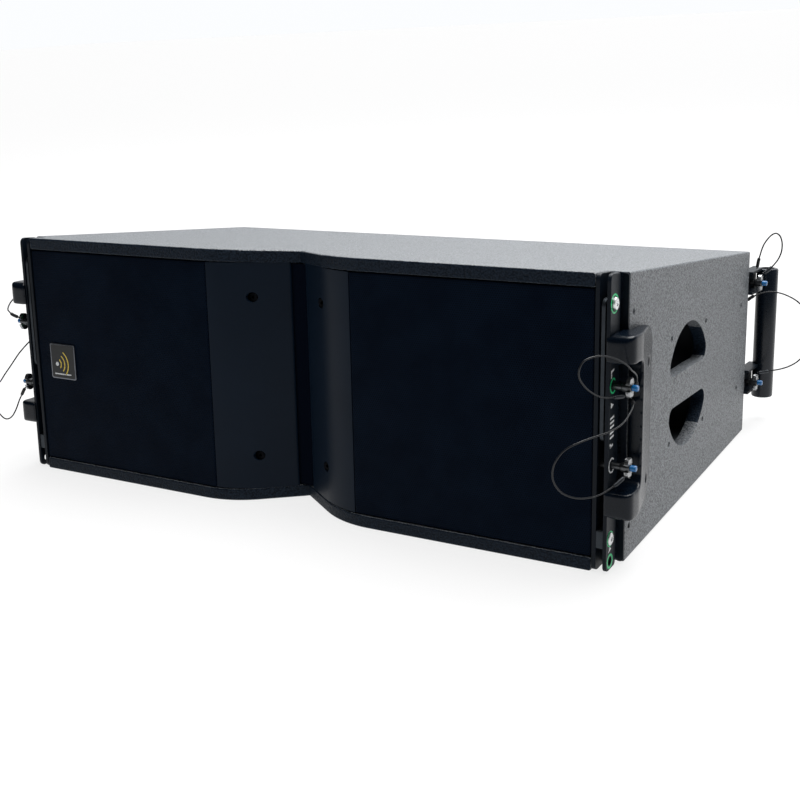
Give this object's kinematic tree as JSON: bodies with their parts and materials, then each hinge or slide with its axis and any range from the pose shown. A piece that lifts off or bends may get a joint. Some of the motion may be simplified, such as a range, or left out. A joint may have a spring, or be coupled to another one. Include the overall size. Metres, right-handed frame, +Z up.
{
  "type": "line array speaker",
  "caption": "Wedge-shaped line array speaker with a grilled V front, a finned central waveguide, hand holes and corner rigging with sliding links and lanyard pins.",
  "frame": {"origin": "middle of the footprint, on the floor that the bottom panel lies on", "axes": "+X to the right of a viewer who faces the grilles, +Y from the grilles to the rear, +Z up"},
  "size_m": [0.9606, 0.6122, 0.2992],
  "materials": {
    "cabinet_coating": "textured satin polyurea over birch plywood",
    "inner_board": "painted board, out of sight",
    "black_steel": "fine black powder coat",
    "black_moulding": "moulded black, satin",
    "driver_casting": "black cast aluminium",
    "badge_metal": "dark anodised, brushed",
    "perforated_steel": "perforated sheet, blue-black paint over fabric",
    "fin_coating": "satin blue-black",
    "cone_paper": "coated cone, matt",
    "link_steel": "dark zinc plate",
    "grip_tube": "black anodised tube, satin",
    "pin_steel": "dull stainless",
    "blue_button": "bright blue",
    "lanyard_wire": "dark stranded wire"
  },
  "bodies": {
    "root": {"top_panel": "cabinet_coating", "bottom_panel": "cabinet_coating", "rear_panel": "cabinet_coating", "front_baffle": "inner_board", "connector_plate": "black_steel", "input_connector": "black_moulding", "link_connector": "black_moulding", "waveguide": "black_moulding", "horn_driver": "driver_casting", "badge_plate": "badge_metal", "side_panel_right": "cabinet_coating", "handle_cup_right": "black_moulding", "grille_right": "perforated_steel", "fin_right": "fin_coating", "woofer_frame_right": "driver_casting", "front_channel_right": "black_steel", "front_outer_plate_right": "black_steel", "pin_guard_right": "black_moulding", "rear_bracket_right": "black_steel", "rear_grip_right": "grip_tube", "front_upper_lanyard_right": "lanyard_wire", "front_lower_lanyard_right": "lanyard_wire", "rear_upper_lanyard_right": "lanyard_wire", "rear_lower_lanyard_right": "lanyard_wire", "side_panel_left": "cabinet_coating", "handle_cup_left": "black_moulding", "grille_left": "perforated_steel", "fin_left": "fin_coating", "woofer_frame_left": "driver_casting", "front_channel_left": "black_steel", "front_outer_plate_left": "black_steel", "pin_guard_left": "black_moulding", "rear_bracket_left": "black_steel", "rear_grip_left": "grip_tube", "front_upper_lanyard_left": "lanyard_wire", "front_lower_lanyard_left": "lanyard_wire", "rear_upper_lanyard_left": "lanyard_wire", "rear_lower_lanyard_left": "lanyard_wire"},
    "front_link_right": {"front_link_right": "link_steel"},
    "rear_link_right": {"rear_link_right": "link_steel"},
    "woofer_cone_right": {"woofer_cone_right": "cone_paper"},
    "front_upper_pin_right": {"front_upper_pin_right": "pin_steel"},
    "front_upper_button_right": {"front_upper_button_right": "blue_button"},
    "front_lower_pin_right": {"front_lower_pin_right": "pin_steel"},
    "front_lower_button_right": {"front_lower_button_right": "blue_button"},
    "rear_upper_pin_right": {"rear_upper_pin_right": "pin_steel"},
    "rear_upper_button_right": {"rear_upper_button_right": "blue_button"},
    "rear_lower_pin_right": {"rear_lower_pin_right": "pin_steel"},
    "rear_lower_button_right": {"rear_lower_button_right": "blue_button"},
    "front_link_left": {"front_link_left": "link_steel"},
    "rear_link_left": {"rear_link_left": "link_steel"},
    "woofer_cone_left": {"woofer_cone_left": "cone_paper"},
    "front_upper_pin_left": {"front_upper_pin_left": "pin_steel"},
    "front_upper_button_left": {"front_upper_button_left": "blue_button"},
    "front_lower_pin_left": {"front_lower_pin_left": "pin_steel"},
    "front_lower_button_left": {"front_lower_button_left": "blue_button"},
    "rear_upper_pin_left": {"rear_upper_pin_left": "pin_steel"},
    "rear_upper_button_left": {"rear_upper_button_left": "blue_button"},
    "rear_lower_pin_left": {"rear_lower_pin_left": "pin_steel"},
    "rear_lower_button_left": {"rear_lower_button_left": "blue_button"}
  },
  "joints": [
    {"name": "front_link_slide_right", "type": "slide", "parent": "root", "child": "front_link_right", "axis": [0, 0.0741, 0.9973], "range_m": [0, 0.0435]},
    {"name": "rear_link_slide_right", "type": "slide", "parent": "root", "child": "rear_link_right", "axis": [0, 0.0741, 0.9973], "range_m": [0, 0.04]},
    {"name": "woofer_travel_right", "type": "slide", "parent": "root", "child": "woofer_cone_right", "axis": [0, 0.9973, -0.0741], "range_m": [-0.005, 0.005], "stiffness_N_per_m": 2500},
    {"name": "front_upper_pin_pull_right", "type": "slide", "parent": "root", "child": "front_upper_pin_right", "axis": [1, 0, 0], "range_m": [0, 0.03]},
    {"name": "front_upper_button_press_right", "type": "slide", "parent": "front_upper_pin_right", "child": "front_upper_button_right", "axis": [-1, 0, 0], "range_m": [0, 0.0035], "stiffness_N_per_m": 400},
    {"name": "front_lower_pin_pull_right", "type": "slide", "parent": "root", "child": "front_lower_pin_right", "axis": [1, 0, 0], "range_m": [0, 0.03]},
    {"name": "front_lower_button_press_right", "type": "slide", "parent": "front_lower_pin_right", "child": "front_lower_button_right", "axis": [-1, 0, 0], "range_m": [0, 0.0035], "stiffness_N_per_m": 400},
    {"name": "rear_upper_pin_pull_right", "type": "slide", "parent": "root", "child": "rear_upper_pin_right", "axis": [1, 0, 0], "range_m": [0, 0.03]},
    {"name": "rear_upper_button_press_right", "type": "slide", "parent": "rear_upper_pin_right", "child": "rear_upper_button_right", "axis": [-1, 0, 0], "range_m": [0, 0.0035], "stiffness_N_per_m": 400},
    {"name": "rear_lower_pin_pull_right", "type": "slide", "parent": "root", "child": "rear_lower_pin_right", "axis": [1, 0, 0], "range_m": [0, 0.03]},
    {"name": "rear_lower_button_press_right", "type": "slide", "parent": "rear_lower_pin_right", "child": "rear_lower_button_right", "axis": [-1, 0, 0], "range_m": [0, 0.0035], "stiffness_N_per_m": 400},
    {"name": "front_link_slide_left", "type": "slide", "parent": "root", "child": "front_link_left", "axis": [0, 0.0741, 0.9973], "range_m": [0, 0.0435]},
    {"name": "rear_link_slide_left", "type": "slide", "parent": "root", "child": "rear_link_left", "axis": [0, 0.0741, 0.9973], "range_m": [0, 0.04]},
    {"name": "woofer_travel_left", "type": "slide", "parent": "root", "child": "woofer_cone_left", "axis": [0, 0.9973, -0.0741], "range_m": [-0.005, 0.005], "stiffness_N_per_m": 2500},
    {"name": "front_upper_pin_pull_left", "type": "slide", "parent": "root", "child": "front_upper_pin_left", "axis": [-1, 0, 0], "range_m": [0, 0.03]},
    {"name": "front_upper_button_press_left", "type": "slide", "parent": "front_upper_pin_left", "child": "front_upper_button_left", "axis": [1, 0, 0], "range_m": [0, 0.0035], "stiffness_N_per_m": 400},
    {"name": "front_lower_pin_pull_left", "type": "slide", "parent": "root", "child": "front_lower_pin_left", "axis": [-1, 0, 0], "range_m": [0, 0.03]},
    {"name": "front_lower_button_press_left", "type": "slide", "parent": "front_lower_pin_left", "child": "front_lower_button_left", "axis": [1, 0, 0], "range_m": [0, 0.0035], "stiffness_N_per_m": 400},
    {"name": "rear_upper_pin_pull_left", "type": "slide", "parent": "root", "child": "rear_upper_pin_left", "axis": [-1, 0, 0], "range_m": [0, 0.03]},
    {"name": "rear_upper_button_press_left", "type": "slide", "parent": "rear_upper_pin_left", "child": "rear_upper_button_left", "axis": [1, 0, 0], "range_m": [0, 0.0035], "stiffness_N_per_m": 400},
    {"name": "rear_lower_pin_pull_left", "type": "slide", "parent": "root", "child": "rear_lower_pin_left", "axis": [-1, 0, 0], "range_m": [0, 0.03]},
    {"name": "rear_lower_button_press_left", "type": "slide", "parent": "rear_lower_pin_left", "child": "rear_lower_button_left", "axis": [1, 0, 0], "range_m": [0, 0.0035], "stiffness_N_per_m": 400}
  ]
}
